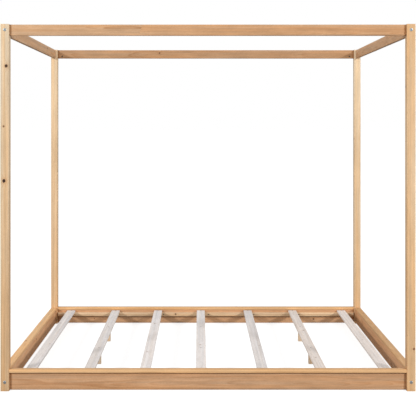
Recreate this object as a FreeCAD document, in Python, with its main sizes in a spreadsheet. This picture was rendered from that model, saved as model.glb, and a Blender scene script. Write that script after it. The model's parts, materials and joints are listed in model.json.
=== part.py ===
import FreeCAD, Part
import os
import re
import Sketcher

# A four poster canopy bed for a queen mattress, in millimetres.
#
# +Z is up. The origin lies on the floor under the middle of the bed. The long sides run along X,
# with the front one on the -Y side, and the ends run along Y, with the left one on the -X side.
# Every stick of wood is modelled about its own middle and then placed. The bed is the same left
# to right and front to back, so one corner is modelled and its twins are mirror images.

SIZES = [
    ("bed_length", 2124, "over the outer faces of the posts, along X"),
    ("bed_width", 1616, "over the outer faces of the posts, along Y"),
    ("bed_height", 1880, "floor to the top of the posts"),
    ("post_side", 44, "square section of a post"),
    ("post_round", 2, "eased edge of a post"),
    ("board_thickness", 18, "all rails, boards and caps"),
    ("board_round", 1.5, "eased edge of a rail, board, ledger, slat or leg"),
    ("rail_height", 57, "canopy rail, on edge"),
    ("rail_drop", 2, "top of a post down to the top of a canopy rail"),
    ("board_height", 89, "lower board, on edge"),
    ("board_setback", 15, "outer face of a post back to the outer face of a lower board"),
    ("floor_gap", 4, "floor to the bottom of a lower board"),
    ("cap_width", 38, "flat cap on a lower board, flush with the post"),
    ("cap_round", 3, "rounded edge of a cap"),
    ("ledger_side", 25, "square strip that carries the slat ends"),
    ("ledger_end_gap", 6, "ledger end to the post beside it"),
    ("slat_width", 55, "slat, across"),
    ("slat_thickness", 13, "slat, top to bottom"),
    ("slat_drop", 1, "underside of the caps down to the top of the slats"),
    ("slat_end_gap", 2, "slat end to the inner edge of the cap"),
    ("slat_pitch", 309, "even spacing of the slats along X"),
    ("slat_shift_first", 4, "first slat, off the even spacing"),
    ("slat_shift_third", -18, "third slat, off the even spacing"),
    ("slat_shift_fourth", -35, "middle slat, off the even spacing"),
    ("slat_shift_fifth", -23, "fifth slat, off the even spacing"),
    ("slat_shift_sixth", -26, "sixth slat, off the even spacing"),
    ("leg_side", 26, "square support leg"),
    ("leg_reach", 269, "middle line of the bed out to a support leg"),
    ("top_bolt_drop", 30, "top of a post down to the end rail's bolt"),
    ("low_bolt_rise", 46, "floor up to the end board's bolt"),
    ("bolt_cross_gap", 15, "long rail's bolt, below the end rail's bolt that it crosses"),
    ("bolt_diameter", 6, "M6 connector bolt"),
    ("bolt_length", 80, "under the head"),
    ("bolt_head_diameter", 16, "flat head"),
    ("bolt_head_thickness", 2.5, "flat head, let in flush"),
    ("bolt_socket", 4, "hexagon key size"),
    ("bolt_socket_depth", 3.5, "hexagon socket"),
    ("bolt_clearance", 0.5, "bolt hole over bolt"),
    ("bolt_end_room", 2, "bolt hole in a rail, past the nut"),
    ("thread_overrun", 1, "nut's threaded hole, past both sides of the nut"),
    ("barrel_diameter", 10, "cross-dowel nut, and its hole"),
    ("barrel_length", 10, "cross-dowel nut"),
    ("barrel_inset", 30, "end of a rail to the middle of its nut"),
    ("dowel_diameter", 8, "beech dowel, and its hole"),
    ("dowel_in_post", 15, "depth of a dowel hole in a post"),
    ("dowel_in_rail", 20, "depth of a dowel hole in a rail or board"),
    ("dowel_in_cap", 10, "depth of a dowel hole in a cap"),
    ("top_dowel_rise", 15, "canopy dowel above the end rail's bolt"),
    ("low_dowel_height", 72, "lower board's end dowel above the floor"),
    ("side_cap_dowel_pitch", 480, "dowels under a long cap, even spacing"),
    ("end_cap_dowel_pitch", 560, "dowels under an end cap, even spacing"),
    ("screw_diameter", 4, "wood screw core, and its hole"),
    ("screw_head_diameter", 8, "countersunk head"),
    ("screw_head_depth", 3, "countersunk head"),
    ("slat_screw_length", 32, "slat to ledger"),
    ("leg_screw_length", 40, "slat to support leg"),
    ("ledger_screw_length", 35, "ledger to lower board"),
    ("ledger_screw_start", -908, "first ledger screw along X"),
]

SLAT_SHIFTS = {
    1: "slat_shift_first",
    3: "slat_shift_third",
    4: "slat_shift_fourth",
    5: "slat_shift_fifth",
    6: "slat_shift_sixth",
}
SLAT_COUNT = 7
LEG_SLATS = (2, 4, 6)
LEDGER_SCREW_COUNT = 7
SIDE_CAP_DOWEL_STEPS = (-1.5, -0.5, 0.5, 1.5)
END_CAP_DOWEL_STEPS = (-1, 0, 1)

# Heights above the floor.
BOARD_TOP = "(floor_gap + board_height)"
SLAT_TOP = f"({BOARD_TOP} - slat_drop)"
LEDGER_TOP = f"({SLAT_TOP} - slat_thickness)"
RAIL_MIDDLE = "(bed_height - rail_drop - rail_height/2)"
BOARD_MIDDLE = "(floor_gap + board_height/2)"
CAP_MIDDLE = f"({BOARD_TOP} + board_thickness/2)"
END_BOLT_TOP = "(bed_height - top_bolt_drop)"
END_BOLT_LOW = "low_bolt_rise"
SIDE_BOLT_TOP = f"({END_BOLT_TOP} - bolt_cross_gap)"
SIDE_BOLT_LOW = "(low_bolt_rise - bolt_cross_gap)"
DOWEL_TOP = f"({END_BOLT_TOP} + top_dowel_rise)"
DOWEL_LOW = "low_dowel_height"

# Distances in from the outer face of the posts.
POST_MIDDLE = "(post_side/2)"
BOARD_CENTRE = "(board_setback + board_thickness/2)"
LEDGER_CENTRE = "(board_setback + board_thickness + ledger_side/2)"
LEDGER_FACE = "(board_setback + board_thickness + ledger_side)"
SLAT_SCREW_INSET = f"((cap_width + slat_end_gap + {LEDGER_FACE})/2)"

X_OUTER = "bed_length/2"
Y_OUTER = "bed_width/2"

X_MIRROR = FreeCAD.Vector(1, 0, 0)
Y_MIRROR = FreeCAD.Vector(0, 1, 0)

# Turns that point a cylinder, which stands along +Z, another way.
TURNS = {
    "+X": FreeCAD.Rotation(FreeCAD.Vector(0, 1, 0), 90),
    "-X": FreeCAD.Rotation(FreeCAD.Vector(0, 1, 0), -90),
    "+Y": FreeCAD.Rotation(FreeCAD.Vector(1, 0, 0), -90),
    "-Y": FreeCAD.Rotation(FreeCAD.Vector(1, 0, 0), 90),
    "+Z": FreeCAD.Rotation(),
    "-Z": FreeCAD.Rotation(FreeCAD.Vector(1, 0, 0), 180),
}

SECTION_PLANES = {"X": "YZ_Plane", "Y": "XZ_Plane", "Z": "XY_Plane"}

doc = FreeCAD.newDocument("CanopyBed")
sheet = doc.addObject("Spreadsheet::Sheet", "Sizes")
for row, (alias, value, meaning) in enumerate(SIZES, start=1):
    sheet.set(f"A{row}", meaning)
    sheet.set(f"B{row}", str(value))
    sheet.setAlias(f"B{row}", alias)
doc.recompute()

ALIASES = {alias for alias, value, meaning in SIZES}
subparts = []


def bind(item, prop, formula):
    """Bind a property to a formula written with the sheet's aliases."""
    def in_sheet(word):
        return "Sizes." + word.group(0) if word.group(0) in ALIASES else word.group(0)
    item.setExpression(prop, re.sub(r"[a-z_]+", in_sheet, formula))


def place(item, position, turn="+Z"):
    """Put an object at a position given as three formulas."""
    item.Placement = FreeCAD.Placement(FreeCAD.Vector(), TURNS[turn])
    for axis, formula in zip("xyz", position):
        bind(item, f"Placement.Base.{axis}", formula)


def keep(item, label):
    """Name a finished sub-part, which is written to a file of that name."""
    item.Label = label
    subparts.append(item)
    return item


# ---------------------------------------------------------------- sticks of wood

def section_sketch(body, grain_axis, across, up):
    """A rectangle about the body's origin, across the grain."""
    sketch = body.newObject("Sketcher::SketchObject", "Section")
    roles = {feature.Role: feature for feature in body.Origin.OriginFeatures}
    sketch.AttachmentSupport = [(roles[SECTION_PLANES[grain_axis]], "")]
    sketch.MapMode = "FlatFace"
    corners = [FreeCAD.Vector(x, y, 0) for x, y in ((-1, -1), (1, -1), (1, 1), (-1, 1))]
    for side in range(4):
        sketch.addGeometry(Part.LineSegment(corners[side], corners[(side + 1) % 4]), False)
    for side in range(4):
        sketch.addConstraint(Sketcher.Constraint("Coincident", side, 2, (side + 1) % 4, 1))
    for side in (0, 2):
        sketch.addConstraint(Sketcher.Constraint("Horizontal", side))
    for side in (1, 3):
        sketch.addConstraint(Sketcher.Constraint("Vertical", side))
    sketch.addConstraint(Sketcher.Constraint("Symmetric", 0, 1, 1, 2, -1, 1))
    width = sketch.addConstraint(Sketcher.Constraint("DistanceX", 0, 1, 0, 2, 2))
    height = sketch.addConstraint(Sketcher.Constraint("DistanceY", 1, 1, 1, 2, 2))
    sketch.renameConstraint(width, "across")
    sketch.renameConstraint(height, "up")
    bind(sketch, "Constraints.across", across)
    bind(sketch, "Constraints.up", up)
    return sketch


def stick(label, grain_axis, across, up, length, rounding, position):
    """A planed stick of wood with eased edges, centred on its own middle and then placed."""
    body = doc.addObject("PartDesign::Body", label)
    sketch = section_sketch(body, grain_axis, across, up)
    pad = body.newObject("PartDesign::Pad", "Blank")
    pad.Profile = sketch
    pad.SideType = "Symmetric"
    bind(pad, "Length", length)
    sketch.Visibility = False
    doc.recompute()
    easing = body.newObject("PartDesign::Fillet", "EasedEdges")
    easing.Base = (pad, ["Edge1"])
    easing.UseAllEdges = True
    bind(easing, "Radius", rounding)
    place(body, position)
    doc.recompute()
    return keep(body, label)


def drill(body, name, diameter, depth, start, direction):
    """A round hole from a start point on or in the stick, in the stick's own frame."""
    hole = body.newObject("PartDesign::SubtractiveCylinder", name)
    bind(hole, "Radius", f"({diameter})/2")
    bind(hole, "Height", depth)
    place(hole, start, direction)
    doc.recompute()
    return hole


def countersink(body, name, start, direction, depth):
    """A hole for a countersunk screw, from the face where its head lies flush."""
    cone = body.newObject("PartDesign::SubtractiveCone", name + "Sink")
    bind(cone, "Radius1", "screw_head_diameter/2")
    bind(cone, "Radius2", "screw_diameter/2")
    bind(cone, "Height", "screw_head_depth")
    place(cone, start, direction)
    doc.recompute()
    drill(body, name, "screw_diameter", depth, start, direction)


def make_post():
    """The front left post, with its bolt holes, head recesses and dowel holes."""
    post = stick("post_front_left", "Z", "post_side", "post_side", "bed_height", "post_round",
                 (f"{POST_MIDDLE} - {X_OUTER}", f"{POST_MIDDLE} - {Y_OUTER}", "bed_height/2"))
    half = "post_side/2"
    bolts = [
        ("EndTop", f"{END_BOLT_TOP} - bed_height/2", "+Y"),
        ("EndLow", f"{END_BOLT_LOW} - bed_height/2", "+Y"),
        ("SideTop", f"{SIDE_BOLT_TOP} - bed_height/2", "+X"),
        ("SideLow", f"{SIDE_BOLT_LOW} - bed_height/2", "+X"),
    ]
    for name, height, direction in bolts:
        start = ("0", f"-{half}", height) if direction == "+Y" else (f"-{half}", "0", height)
        drill(post, name + "Bolt", "bolt_diameter + bolt_clearance", "post_side", start, direction)
        drill(post, name + "Head", "bolt_head_diameter + bolt_clearance", "bolt_head_thickness",
              start, direction)
    inward = f"{BOARD_CENTRE} - {POST_MIDDLE}"
    dowels = [
        ("Top", "0", f"{DOWEL_TOP} - bed_height/2"),
        ("Low", inward, f"{DOWEL_LOW} - bed_height/2"),
    ]
    for name, aside, height in dowels:
        drill(post, "End" + name + "Dowel", "dowel_diameter", "dowel_in_post",
              (aside, half, height), "-Y")
        drill(post, "Side" + name + "Dowel", "dowel_diameter", "dowel_in_post",
              (half, aside, height), "-X")
    return post


def drill_rail_ends(rail, grain_axis, length, bolt_aside, bolt_height, dowel_height):
    """Bolt, nut and dowel holes in both ends of a rail whose inner face is on its plus side."""
    for sign, inward in (("-", "+"), ("", "-")):
        end_name = "Near" if sign else "Far"
        bolt_depth = "barrel_inset + barrel_diameter + bolt_end_room"
        nut_depth = f"board_thickness/2 - ({bolt_aside}) + barrel_length/2"
        nut_along = f"{sign}({length}/2 - barrel_inset)"
        if grain_axis == "X":
            bolt_start = (f"{sign}{length}/2", bolt_aside, bolt_height)
            dowel_start = (f"{sign}{length}/2", "0", dowel_height)
            nut_start = (nut_along, "board_thickness/2", bolt_height)
            nut_direction = "-Y"
        else:
            bolt_start = (bolt_aside, f"{sign}{length}/2", bolt_height)
            dowel_start = ("0", f"{sign}{length}/2", dowel_height)
            nut_start = ("board_thickness/2", nut_along, bolt_height)
            nut_direction = "-X"
        along = inward + grain_axis
        drill(rail, end_name + "Bolt", "bolt_diameter + bolt_clearance", bolt_depth, bolt_start, along)
        drill(rail, end_name + "Nut", "barrel_diameter", nut_depth, nut_start, nut_direction)
        drill(rail, end_name + "Dowel", "dowel_diameter", "dowel_in_rail", dowel_start, along)


def make_rails_and_boards():
    """The front and left canopy rails and lower boards."""
    side_length = "(bed_length - 2*post_side)"
    end_length = "(bed_width - 2*post_side)"
    low_aside = f"{POST_MIDDLE} - {BOARD_CENTRE}"

    side_rail = stick("top_rail_front", "X", "board_thickness", "rail_height", side_length, "board_round",
                      ("0", f"{POST_MIDDLE} - {Y_OUTER}", RAIL_MIDDLE))
    drill_rail_ends(side_rail, "X", side_length, "0", f"{SIDE_BOLT_TOP} - {RAIL_MIDDLE}",
                    f"{DOWEL_TOP} - {RAIL_MIDDLE}")

    end_rail = stick("top_rail_left", "Y", "board_thickness", "rail_height", end_length, "board_round",
                     (f"{POST_MIDDLE} - {X_OUTER}", "0", RAIL_MIDDLE))
    drill_rail_ends(end_rail, "Y", end_length, "0", f"{END_BOLT_TOP} - {RAIL_MIDDLE}",
                    f"{DOWEL_TOP} - {RAIL_MIDDLE}")

    side_board = stick("side_board_front", "X", "board_thickness", "board_height", side_length, "board_round",
                       ("0", f"{BOARD_CENTRE} - {Y_OUTER}", BOARD_MIDDLE))
    drill_rail_ends(side_board, "X", side_length, low_aside, f"{SIDE_BOLT_LOW} - {BOARD_MIDDLE}",
                    f"{DOWEL_LOW} - {BOARD_MIDDLE}")
    for number, step in enumerate(SIDE_CAP_DOWEL_STEPS, start=1):
        drill(side_board, f"CapDowel{number}", "dowel_diameter", "dowel_in_rail",
              (f"{step}*side_cap_dowel_pitch", "0", "board_height/2"), "-Z")
    for number in range(LEDGER_SCREW_COUNT):
        drill(side_board, f"LedgerScrew{number + 1}", "screw_diameter", "ledger_screw_length - ledger_side",
              (ledger_screw_x(number), "board_thickness/2", f"{LEDGER_TOP} - ledger_side/2 - {BOARD_MIDDLE}"),
              "-Y")

    end_board = stick("end_board_left", "Y", "board_thickness", "board_height", end_length, "board_round",
                      (f"{BOARD_CENTRE} - {X_OUTER}", "0", BOARD_MIDDLE))
    drill_rail_ends(end_board, "Y", end_length, low_aside, f"{END_BOLT_LOW} - {BOARD_MIDDLE}",
                    f"{DOWEL_LOW} - {BOARD_MIDDLE}")
    for number, step in enumerate(END_CAP_DOWEL_STEPS, start=1):
        drill(end_board, f"CapDowel{number}", "dowel_diameter", "dowel_in_rail",
              ("0", f"{step}*end_cap_dowel_pitch", "board_height/2"), "-Z")
    return side_rail, end_rail, side_board, end_board


def make_caps():
    """The front and left caps, flush with the outer faces of the posts."""
    dowel_aside = f"{BOARD_CENTRE} - cap_width/2"
    side_cap = stick("side_cap_front", "X", "cap_width", "board_thickness",
                     "bed_length - 2*post_side", "cap_round",
                     ("0", f"cap_width/2 - {Y_OUTER}", CAP_MIDDLE))
    for number, step in enumerate(SIDE_CAP_DOWEL_STEPS, start=1):
        drill(side_cap, f"Dowel{number}", "dowel_diameter", "dowel_in_cap",
              (f"{step}*side_cap_dowel_pitch", dowel_aside, "-board_thickness/2"), "+Z")
    end_cap = stick("end_cap_left", "Y", "cap_width", "board_thickness",
                    "bed_width - 2*post_side", "cap_round",
                    (f"cap_width/2 - {X_OUTER}", "0", CAP_MIDDLE))
    for number, step in enumerate(END_CAP_DOWEL_STEPS, start=1):
        drill(end_cap, f"Dowel{number}", "dowel_diameter", "dowel_in_cap",
              (dowel_aside, f"{step}*end_cap_dowel_pitch", "-board_thickness/2"), "+Z")
    return side_cap, end_cap


def ledger_screw_x(number):
    """Where a ledger screw lies along X. They keep clear of the slat screws."""
    return f"ledger_screw_start + {number}*slat_pitch"


def slat_x(number):
    """Where a slat's middle lies along X."""
    even = f"{number - (SLAT_COUNT + 1) // 2}*slat_pitch"
    return f"{even} + {SLAT_SHIFTS[number]}" if number in SLAT_SHIFTS else even


def make_ledger():
    """The front ledger, with holes for its own screws and for the slat screws."""
    ledger = stick("slat_ledger_front", "X", "ledger_side", "ledger_side",
                   "bed_length - 2*post_side - 2*ledger_end_gap", "board_round",
                   ("0", f"{LEDGER_CENTRE} - {Y_OUTER}", f"{LEDGER_TOP} - ledger_side/2"))
    for number in range(LEDGER_SCREW_COUNT):
        countersink(ledger, f"OwnScrew{number + 1}", (ledger_screw_x(number), "ledger_side/2", "0"), "-Y",
                    "ledger_side")
    for number in range(1, SLAT_COUNT + 1):
        drill(ledger, f"SlatScrew{number}", "screw_diameter", "slat_screw_length - slat_thickness",
              (slat_x(number), f"{SLAT_SCREW_INSET} - {LEDGER_CENTRE}", "ledger_side/2"), "-Z")
    return ledger


def make_slats():
    """Seven slats on the two ledgers, each screwed at both ends."""
    length = "(bed_width - 2*cap_width - 2*slat_end_gap)"
    for number in range(1, SLAT_COUNT + 1):
        slat = stick(f"slat_{number}", "Y", "slat_width", "slat_thickness", length, "board_round",
                     (slat_x(number), "0", f"{SLAT_TOP} - slat_thickness/2"))
        reaches = [("End", f"({Y_OUTER} - {SLAT_SCREW_INSET})")]
        if number in LEG_SLATS:
            reaches.append(("Leg", "leg_reach"))
        for name, reach in reaches:
            for side, sign in (("Front", "-"), ("Back", "")):
                countersink(slat, name + side, ("0", f"{sign}{reach}", "slat_thickness/2"), "-Z",
                            "slat_thickness")


def make_legs():
    """Two short legs under every second slat."""
    for number in LEG_SLATS:
        for side, sign in (("front", "-"), ("back", "")):
            leg = stick(f"support_leg_{number}_{side}", "Z", "leg_side", "leg_side", LEDGER_TOP, "board_round",
                        (slat_x(number), f"{sign}leg_reach", f"{LEDGER_TOP}/2"))
            drill(leg, "Screw", "screw_diameter", "leg_screw_length - slat_thickness",
                  ("0", "0", f"{LEDGER_TOP}/2"), "-Z")


# ---------------------------------------------------------------- hardware

def cylinder(name, diameter, height, position=("0", "0", "0"), turn="+Z"):
    """A plain cylinder along one axis."""
    item = doc.addObject("Part::Cylinder", name)
    bind(item, "Radius", f"({diameter})/2")
    bind(item, "Height", height)
    place(item, position, turn)
    return item


def bolt(name, position, direction):
    """A flat-head connector bolt with a hexagon socket, from the outside of its head."""
    head = cylinder(name + "Head", "bolt_head_diameter", "bolt_head_thickness")
    shank = cylinder(name + "Shank", "bolt_diameter", "bolt_head_thickness + bolt_length")
    body = doc.addObject("Part::Fuse", name + "Body")
    body.Base = head
    body.Tool = shank
    socket = doc.addObject("Part::Prism", name + "Socket")
    socket.Polygon = 6
    bind(socket, "Circumradius", "bolt_socket/sqrt(3)")
    bind(socket, "Height", "bolt_socket_depth")
    item = doc.addObject("Part::Cut", name)
    item.Base = body
    item.Tool = socket
    place(item, position, direction)
    return item


def barrel_nut(name, position, nut_axis, bolt_axis):
    """A cross-dowel nut, centred on the bolt that runs through it."""
    barrel = cylinder(name + "Barrel", "barrel_diameter", "barrel_length", ("0", "0", "0"), "+Z")
    thread = cylinder(name + "Thread", "bolt_diameter", "barrel_diameter + 2*thread_overrun",
                      ("-barrel_diameter/2 - thread_overrun", "0", "barrel_length/2"), "+X")
    item = doc.addObject("Part::Cut", name)
    item.Base = barrel
    item.Tool = thread
    item.Placement = FreeCAD.Placement(FreeCAD.Vector(), nut_rotation(nut_axis, bolt_axis))
    for axis, formula in zip("xyz", position):
        bind(item, f"Placement.Base.{axis}", formula)
    return item


def nut_rotation(nut_axis, bolt_axis):
    """The turn that takes +Z to the nut's axis and +X to the bolt's axis."""
    third = nut_axis.cross(bolt_axis)
    return FreeCAD.Rotation(bolt_axis, third, nut_axis, "ZXY")


def wood_screw(name, length, position, direction):
    """A countersunk screw, from the outside of its head."""
    head = doc.addObject("Part::Cone", name + "Head")
    bind(head, "Radius1", "screw_head_diameter/2")
    bind(head, "Radius2", "screw_diameter/2")
    bind(head, "Height", "screw_head_depth")
    shank = cylinder(name + "Shank", "screw_diameter", length)
    item = doc.addObject("Part::Fuse", name)
    item.Base = head
    item.Tool = shank
    place(item, position, direction)
    return item


def group(name, members):
    """Several separate solids held as one object."""
    item = doc.addObject("Part::Compound", name)
    item.Links = members
    return item


def mirrored(name, source, normal):
    """The mirror image of an object across a middle plane of the bed."""
    item = doc.addObject("Part::Mirroring", name)
    item.Source = source
    item.Normal = normal
    return item


def both_sides(name, members, normals):
    """A group together with its mirror images across each of the planes given."""
    whole = group(name + "Corner", members)
    for step, normal in enumerate(normals, start=1):
        twin = mirrored(f"{name}Twin{step}", whole, normal)
        whole = group(f"{name}Both{step}", [whole, twin])
    return whole


def corner(inset_x, inset_y, height):
    """A point in the front left corner, by its distances in from the outer faces of the posts."""
    return (f"{inset_x} - {X_OUTER}", f"{inset_y} - {Y_OUTER}", height)


def make_bolts_and_nuts():
    """Two bolts and two nuts for each way that the rails meet each post."""
    end_heights = (("Top", END_BOLT_TOP), ("Low", END_BOLT_LOW))
    side_heights = (("Top", SIDE_BOLT_TOP), ("Low", SIDE_BOLT_LOW))
    nut_start = f"{POST_MIDDLE} - barrel_length/2"
    nut_reach = "post_side + barrel_inset"
    x_axis = FreeCAD.Vector(1, 0, 0)
    y_axis = FreeCAD.Vector(0, 1, 0)
    end_bolts = []
    side_bolts = []
    nuts = []
    for level, height in end_heights:
        end_bolts.append(bolt("EndBolt" + level, corner(POST_MIDDLE, "0", height), "+Y"))
        nuts.append(barrel_nut("EndNut" + level, corner(nut_start, nut_reach, height), x_axis, y_axis))
    for level, height in side_heights:
        side_bolts.append(bolt("SideBolt" + level, corner("0", POST_MIDDLE, height), "+X"))
        nuts.append(barrel_nut("SideNut" + level, corner(nut_reach, nut_start, height), y_axis, x_axis))
    keep(both_sides("EndBolts", end_bolts, (X_MIRROR, Y_MIRROR)), "end_rail_bolts")
    keep(both_sides("SideBolts", side_bolts, (X_MIRROR, Y_MIRROR)), "side_rail_bolts")
    keep(both_sides("Nuts", nuts, (X_MIRROR, Y_MIRROR)), "barrel_nuts")


def make_dowels():
    """Dowels beside the bolts, and between the lower boards and their caps."""
    length = "dowel_in_post + dowel_in_rail"
    start = "post_side - dowel_in_post"
    rail_dowels = []
    for level, height, aside in (("Top", DOWEL_TOP, POST_MIDDLE), ("Low", DOWEL_LOW, BOARD_CENTRE)):
        rail_dowels.append(cylinder("EndDowel" + level, "dowel_diameter", length,
                                    corner(aside, start, height), "+Y"))
        rail_dowels.append(cylinder("SideDowel" + level, "dowel_diameter", length,
                                    corner(start, aside, height), "+X"))
    keep(both_sides("RailDowels", rail_dowels, (X_MIRROR, Y_MIRROR)), "rail_dowels")

    cap_length = "dowel_in_rail + dowel_in_cap"
    cap_start = f"{BOARD_TOP} - dowel_in_rail"
    side_dowels = [cylinder(f"SideCapDowel{number}", "dowel_diameter", cap_length,
                            (f"{step}*side_cap_dowel_pitch", f"{BOARD_CENTRE} - {Y_OUTER}", cap_start))
                   for number, step in enumerate(SIDE_CAP_DOWEL_STEPS, start=1)]
    end_dowels = [cylinder(f"EndCapDowel{number}", "dowel_diameter", cap_length,
                           (f"{BOARD_CENTRE} - {X_OUTER}", f"{step}*end_cap_dowel_pitch", cap_start))
                  for number, step in enumerate(END_CAP_DOWEL_STEPS, start=1)]
    side_pair = both_sides("SideCapDowels", side_dowels, (Y_MIRROR,))
    end_pair = both_sides("EndCapDowels", end_dowels, (X_MIRROR,))
    keep(group("CapDowels", [side_pair, end_pair]), "cap_dowels")


def make_screws():
    """Screws through the slats into the ledgers and legs, and through the ledgers into the boards."""
    slat_screws = [wood_screw(f"SlatScrew{number}", "slat_screw_length",
                              (slat_x(number), f"{SLAT_SCREW_INSET} - {Y_OUTER}", SLAT_TOP), "-Z")
                   for number in range(1, SLAT_COUNT + 1)]
    keep(both_sides("SlatScrews", slat_screws, (Y_MIRROR,)), "slat_screws")
    leg_screws = [wood_screw(f"LegScrew{number}", "leg_screw_length",
                             (slat_x(number), "-leg_reach", SLAT_TOP), "-Z")
                  for number in LEG_SLATS]
    keep(both_sides("LegScrews", leg_screws, (Y_MIRROR,)), "leg_screws")
    ledger_screws = [wood_screw(f"LedgerScrew{number + 1}", "ledger_screw_length",
                                (ledger_screw_x(number), f"{LEDGER_FACE} - {Y_OUTER}",
                                 f"{LEDGER_TOP} - ledger_side/2"), "-Y")
                     for number in range(LEDGER_SCREW_COUNT)]
    keep(both_sides("LedgerScrews", ledger_screws, (Y_MIRROR,)), "ledger_screws")


# ---------------------------------------------------------------- the whole bed

def make_bed():
    post = make_post()
    side_rail, end_rail, side_board, end_board = make_rails_and_boards()
    side_cap, end_cap = make_caps()
    ledger = make_ledger()
    keep(mirrored("PostFrontRight", post, X_MIRROR), "post_front_right")
    post_back = keep(mirrored("PostBackLeft", post, Y_MIRROR), "post_back_left")
    keep(mirrored("PostBackRight", post_back, X_MIRROR), "post_back_right")
    keep(mirrored("TopRailBack", side_rail, Y_MIRROR), "top_rail_back")
    keep(mirrored("TopRailRight", end_rail, X_MIRROR), "top_rail_right")
    keep(mirrored("SideBoardBack", side_board, Y_MIRROR), "side_board_back")
    keep(mirrored("EndBoardRight", end_board, X_MIRROR), "end_board_right")
    keep(mirrored("SideCapBack", side_cap, Y_MIRROR), "side_cap_back")
    keep(mirrored("EndCapRight", end_cap, X_MIRROR), "end_cap_right")
    keep(mirrored("SlatLedgerBack", ledger, Y_MIRROR), "slat_ledger_back")
    make_slats()
    make_legs()
    make_bolts_and_nuts()
    make_dowels()
    make_screws()


def check_and_write():
    """Stop on any failed object or on a hole that cut nothing, then write every sub-part."""
    for item in doc.Objects:
        if "Invalid" in item.State or "Error" in item.State:
            raise RuntimeError(f"{item.Name} failed: {item.State}")
        if item.TypeId in ("PartDesign::SubtractiveCylinder", "PartDesign::SubtractiveCone"):
            removed = item.BaseFeature.Shape.Volume - item.Shape.Volume
            if removed < 1:
                raise RuntimeError(f"{item.Name} removed only {removed} mm3")
    os.makedirs("parts", exist_ok=True)
    for item in subparts:
        shape = item.Shape
        if shape.isNull() or not shape.isValid() or not shape.Solids:
            raise RuntimeError(f"{item.Label} has no valid solid")
        shape.exportStep(os.path.join("parts", item.Label + ".step"))
        box = shape.BoundBox
        print(f"{item.Label:24s} {len(shape.Solids):3d} solids {shape.Volume:12.1f} mm3 "
              f"X {box.XMin:8.1f} {box.XMax:8.1f} Y {box.YMin:8.1f} {box.YMax:8.1f} "
              f"Z {box.ZMin:7.1f} {box.ZMax:7.1f}")


make_bed()
doc.recompute()
check_and_write()
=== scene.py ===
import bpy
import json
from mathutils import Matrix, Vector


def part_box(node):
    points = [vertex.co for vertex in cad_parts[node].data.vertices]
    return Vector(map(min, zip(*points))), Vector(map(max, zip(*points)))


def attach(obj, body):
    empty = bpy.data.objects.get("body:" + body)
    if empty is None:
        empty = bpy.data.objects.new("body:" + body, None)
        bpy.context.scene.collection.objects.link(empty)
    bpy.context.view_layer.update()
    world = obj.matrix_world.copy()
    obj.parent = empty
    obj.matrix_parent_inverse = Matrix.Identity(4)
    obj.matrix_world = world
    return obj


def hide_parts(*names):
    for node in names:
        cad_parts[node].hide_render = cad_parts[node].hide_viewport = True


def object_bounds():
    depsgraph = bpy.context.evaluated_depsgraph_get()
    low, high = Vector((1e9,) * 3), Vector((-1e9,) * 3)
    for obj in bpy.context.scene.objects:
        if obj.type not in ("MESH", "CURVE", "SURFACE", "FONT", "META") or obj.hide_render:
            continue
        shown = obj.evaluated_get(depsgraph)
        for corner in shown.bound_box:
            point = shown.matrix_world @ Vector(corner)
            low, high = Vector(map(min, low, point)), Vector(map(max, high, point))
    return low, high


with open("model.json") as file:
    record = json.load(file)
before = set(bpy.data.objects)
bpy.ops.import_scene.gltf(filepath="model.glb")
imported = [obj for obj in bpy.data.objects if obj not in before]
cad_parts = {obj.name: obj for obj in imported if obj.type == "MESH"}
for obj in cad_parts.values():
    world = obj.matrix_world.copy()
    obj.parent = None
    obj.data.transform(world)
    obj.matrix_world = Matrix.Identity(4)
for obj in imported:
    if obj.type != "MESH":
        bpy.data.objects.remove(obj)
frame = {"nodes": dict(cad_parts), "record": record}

import copy
import json
import math
import random

import bmesh
import bpy
import numpy as np
from mathutils import Matrix, Vector, noise

CAD_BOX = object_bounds()
MM = 0.001
SLOTS = {part["node"]: part["material_slot"] for part in frame["record"]["subparts"]}

# The rounding of each kind of stick's edges, and about how far wear takes them in.
EDGES = {
    "post_pine": (2.4 * MM, 0.7 * MM),
    "rail_pine": (1.8 * MM, 0.5 * MM),
    "board_pine": (1.8 * MM, 0.5 * MM),
    "cap_pine": (4.0 * MM, 0.6 * MM),
    "ledger_pine": (1.5 * MM, 0.6 * MM),
    "slat_wood": (1.6 * MM, 0.8 * MM),
    "leg_pine": (1.5 * MM, 0.6 * MM),
}

# How finely a stick's mesh is divided: round an edge, into an eased end, along it and across a face.
ARC_STEPS = 5
END_STEPS = 3
STATION_STEP = 16 * MM
SIDE_STEP = 14 * MM
CORNERS = ((1, 1), (-1, 1), (-1, -1), (1, -1))

# How far planing leaves a face from flat, how an end is eased, and the share of an edge's rounding that
# is left there at least.
FLAT_WANDER = 0.12 * MM
END_ROUND = 0.8 * MM
LEAST_ROUNDING = 0.08

# The noise that wears an edge: how fine it is along and across the stick, how far into it a stick may
# start, and the levels past which an edge is rubbed and nicked.
WEAR_ALONG = 3.0
WEAR_ACROSS = 26.0
WEAR_START = 900.0
RUB_FINENESS = 2.3
RUB_LEVEL = -0.35
NICK_FINENESS = 1.076055
NICK_LEVEL = 0.42
NICK_DEPTH = 3.0

# Where an edge looks rubbed, in edge roundings from it, and how deep the look of end grain goes.
EDGE_REACH = 1.6
END_GRAIN_DEPTH = 0.9 * END_ROUND

# The angles, in degrees, past which wood and steel have a crease.
WOOD_CREASE = 40
STEEL_CREASE = 38

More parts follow.
